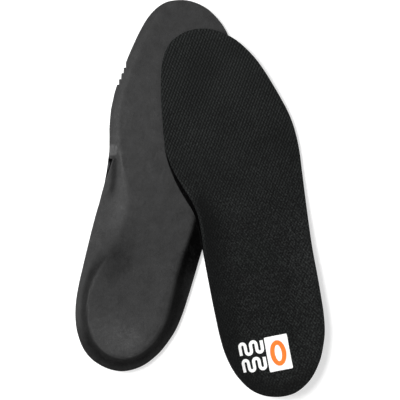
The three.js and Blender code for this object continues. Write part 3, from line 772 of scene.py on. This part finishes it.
def moulded(name, dark, light):
    """Moulded charcoal foam: fine skin grain, soft mottling, slight sheen where the mould was smooth."""
    t = Tree(name)
    place = t.attribute("own_place")
    # the tone brings the foam's colour variation together with painted shade and highlights, and sets how glossy it is
    tn = t.attribute("own_tone_and_painted_light", "Fac")
    mott = t.noise(place, 0.11, 4.0, 0.6, 0.4)
    mid = t.noise(place, 0.45, 3.0, 0.6)
    grain = t.noise(place, 2.1, 3.0, 0.7)
    pores = t.cells(place, 1.15)
    k = t.math("ADD", tn, t.math("MULTIPLY", t.math("SUBTRACT", mott, 0.5), 0.50))
    k = t.math("ADD", k, t.math("MULTIPLY", t.math("SUBTRACT", mid, 0.5), 0.62))
    k = t.math("ADD", k, t.math("MULTIPLY", t.math("SUBTRACT", grain, 0.5), 0.95))
    k = t.math("ADD", k, t.math("MULTIPLY", t.math("SUBTRACT", pores, 0.45), 0.10), clamp=True)
    colour = t.ramp(k, [(0.0, [x * 0.10 for x in dark]), (0.3, dark), (0.7, light), (1.0, [x * 2.1 for x in light])])
    rough = t.span(t.math("ADD", t.math("MULTIPLY", mid, 0.6), t.math("MULTIPLY", t.math("SUBTRACT", 1.0, tn), 0.6)), 0.45, 0.9, 0.54, 0.95)
    height = t.math("ADD", t.math("MULTIPLY", grain, 0.7), t.math("MULTIPLY", mid, 1.0))
    n1 = t.bump(height, 0.00022, 0.8)
    n2 = t.bump(mott, 0.0006, 0.35, n1)
    return t.finish(colour, rough, n2, specular=t.span(tn, 0.0, 0.42, 0.03, 0.26))


def open_cell(name, dark, light):
    """Open-cell comfort foam: round pores with thin lighter walls."""
    t = Tree(name)
    place = t.attribute("own_place")
    big = t.cells(place, 1.6)
    small = t.cells(place, 3.6)
    cloud = t.noise(place, 0.3, 3.0, 0.6)
    wall = t.math("ADD", t.math("MULTIPLY", big, 0.65), t.math("MULTIPLY", small, 0.45))
    k = t.math("ADD", wall, t.math("MULTIPLY", t.math("SUBTRACT", cloud, 0.5), 0.5))
    # the tone brings painted shade to the foam's exposed edges and a lighter patch on the lower insole
    k = t.math("ADD", k, t.math("MULTIPLY", t.math("SUBTRACT", t.attribute("own_tone_and_painted_light", "Fac"), 0.5), 1.5), clamp=True)
    colour = t.ramp(k, [(0.0, [x * 0.10 for x in dark]), (0.4, dark), (1.0, light)])
    rough = t.span(cloud, 0.3, 0.7, 0.95, 0.82)
    gloss = t.span(t.attribute("own_tone_and_painted_light", "Fac"), 0.0, 0.5, 0.005, 0.12)
    return t.finish(colour, rough, t.bump(wall, 0.00035, 0.9), specular=gloss)


def gel(name):
    t = Tree(name)
    place = t.attribute("own_place")
    cloud = t.noise(place, 0.09, 3.0, 0.5)
    dust = t.noise(place, 1.2, 3.0, 0.65)
    k = t.math("ADD", cloud, t.math("MULTIPLY", t.math("SUBTRACT", dust, 0.5), 0.4), clamp=True)
    colour = t.ramp(k, [(0.2, (0.11, 0.12, 0.125)), (0.8, (0.21, 0.22, 0.225))])
    return t.finish(colour, t.span(dust, 0.3, 0.7, 0.28, 0.5), t.bump(dust, 0.0002, 0.5), specular=0.5)


def film(name, dark, light, spec=0.35):
    """Heat-pressed film: the knit below shows through it, and its face is slightly crazed."""
    t = Tree(name)
    place = t.attribute("own_place")
    h, u, v = knit_height(t, place)
    craze = t.noise(place, 1.1, 4.0, 0.7)
    cloud = t.noise(place, 0.14, 2.0, 0.5)
    k = t.math("ADD", t.math("MULTIPLY", h, 0.30), t.math("MULTIPLY", cloud, 0.35))
    k = t.math("ADD", k, t.math("MULTIPLY", craze, 0.45), clamp=True)
    colour = t.ramp(k, [(0.15, dark), (0.75, light)])
    rough = t.span(craze, 0.3, 0.7, 0.42, 0.62)
    return t.finish(colour, rough, t.bump(t.math("ADD", t.math("MULTIPLY", h, 0.6), t.math("MULTIPLY", craze, 0.4)), 0.00012, 0.6), specular=spec)


M_KNIT = knit("charcoal_knit", (0.0045, 0.0049, 0.0048), (0.0205, 0.0223, 0.0217))
M_BASE = moulded("moulded_charcoal_foam", (0.0080, 0.0080, 0.0081), (0.0240, 0.0240, 0.0243))
M_SOFT = open_cell("open_cell_foam", (0.014, 0.014, 0.0145), (0.055, 0.055, 0.057))
M_GEL = gel("grey_gel")
M_WHITE = film("white_film", (0.72, 0.72, 0.71), (0.90, 0.90, 0.89))
M_ORANGE = film("orange_film", (0.70, 0.125, 0.012), (0.90, 0.20, 0.022))

# ---------------------------------------------------------------- the pieces
pieces = {}
for side in ("left", "right"):
    cover, foam, base = insole(side)
    gelpad = pad_piece(side)
    p = prints(side)
    for o, m in ((cover, M_KNIT), (foam, M_SOFT), (base, M_BASE), (gelpad, M_GEL)):
        o.data.materials.append(m)
    for k, o in p.items():
        o.data.materials.append(M_ORANGE if k == "ring" else M_WHITE)
    pieces[side] = dict(cover=cover, foam=foam, base=base, gel=gelpad, prints=p)

NODES = dict(cover="top_cover", foam="comfort_foam", base="foam_base")
for side, q in pieces.items():
    body = f"{side}_insole"
    for key, node in NODES.items():
        o = q[key]
        if side == "left":
            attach(o, body)
            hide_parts(f"{node}_left")
        else:
            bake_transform(o)
            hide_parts(f"{node}_rear_right", f"{node}_toe_right")
    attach(q["gel"], body)
    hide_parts(f"heel_pad_{side}")
    for k, o in q["prints"].items():
        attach(o, body)
        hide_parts(f"print_{k}_{side}")

# ---------------------------------------------------------------- floor, light, camera
def floor_material():
    t = Tree("pale_floor")
    c = t.t.nodes.new("ShaderNodeTexCoord")
    n = t.noise(c.outputs["Object"], 9.0, 2.0)
    col = t.ramp(n, [(0.3, (0.50, 0.50, 0.50)), (0.7, (0.52, 0.52, 0.52))])
    t.bsdf.inputs["Emission Color"].default_value = (1, 1, 1, 1)
    t.bsdf.inputs["Emission Strength"].default_value = 0.62
    return t.finish(col, 0.9, t.bump(n, 0.0001, 0.1), specular=0.1)


me = bpy.data.meshes.new("floor")
bm = bmesh.new()
ring = []
for r, z in ((0.0, 0), (3.0, 0), (3.6, 0.05), (4.2, 0.25), (4.8, 0.8), (5.1, 1.6), (5.2, 2.6)):
    ring.append([bm.verts.new((r * math.cos(a), r * math.sin(a), z)) for a in np.linspace(0, 2 * math.pi, 49)[:-1]] if r else [bm.verts.new((0, 0, 0))])
for i in range(48):
    bm.faces.new((ring[0][0], ring[1][i], ring[1][(i + 1) % 48]))
    for k in range(1, len(ring) - 1):
        bm.faces.new((ring[k][i], ring[k + 1][i], ring[k + 1][(i + 1) % 48], ring[k][(i + 1) % 48]))
bm.to_mesh(me)
bm.free()
me.polygons.foreach_set("use_smooth", np.ones(len(me.polygons), bool))
floor = bpy.data.objects.new("floor", me)
floor.data.materials.append(floor_material())
bpy.context.scene.collection.objects.link(floor)


def area_light(name, size, power, at, aim=(0, 0, 0.01), colour=(1, 1, 1)):
    d = bpy.data.lights.new(name, "AREA")
    d.shape = "DISK"
    d.size = size
    d.energy = power
    d.color = colour
    o = bpy.data.objects.new(name, d)
    o.location = at
    o.rotation_mode = "QUATERNION"
    o.rotation_quaternion = (Vector(aim) - Vector(at)).to_track_quat("-Z", "Y")
    bpy.context.scene.collection.objects.link(o)


area_light("key", 1.0, 62.0, (-0.80, 0.30, 1.75))

world = bpy.data.worlds.new("studio")
world.use_nodes = True
world.node_tree.nodes["Background"].inputs[0].default_value = (1.0, 1.0, 1.0, 1)
world.node_tree.nodes["Background"].inputs[1].default_value = 0.08
bpy.context.scene.world = world
bpy.context.scene.view_settings.view_transform = "Standard"

cam = bpy.data.cameras.new("camera")
cam.sensor_width = 36
HEIGHT = 3.0
cam.lens = 36 * (HEIGHT - 0.010) / 0.285714
cam.clip_start, cam.clip_end = 0.05, 40
co = bpy.data.objects.new("camera", cam)
co.location = (0.00004, -0.00146, HEIGHT)
co.rotation_euler = (0, 0, 0)
bpy.context.scene.collection.objects.link(co)
bpy.context.scene.camera = co

bpy.context.view_layer.update()
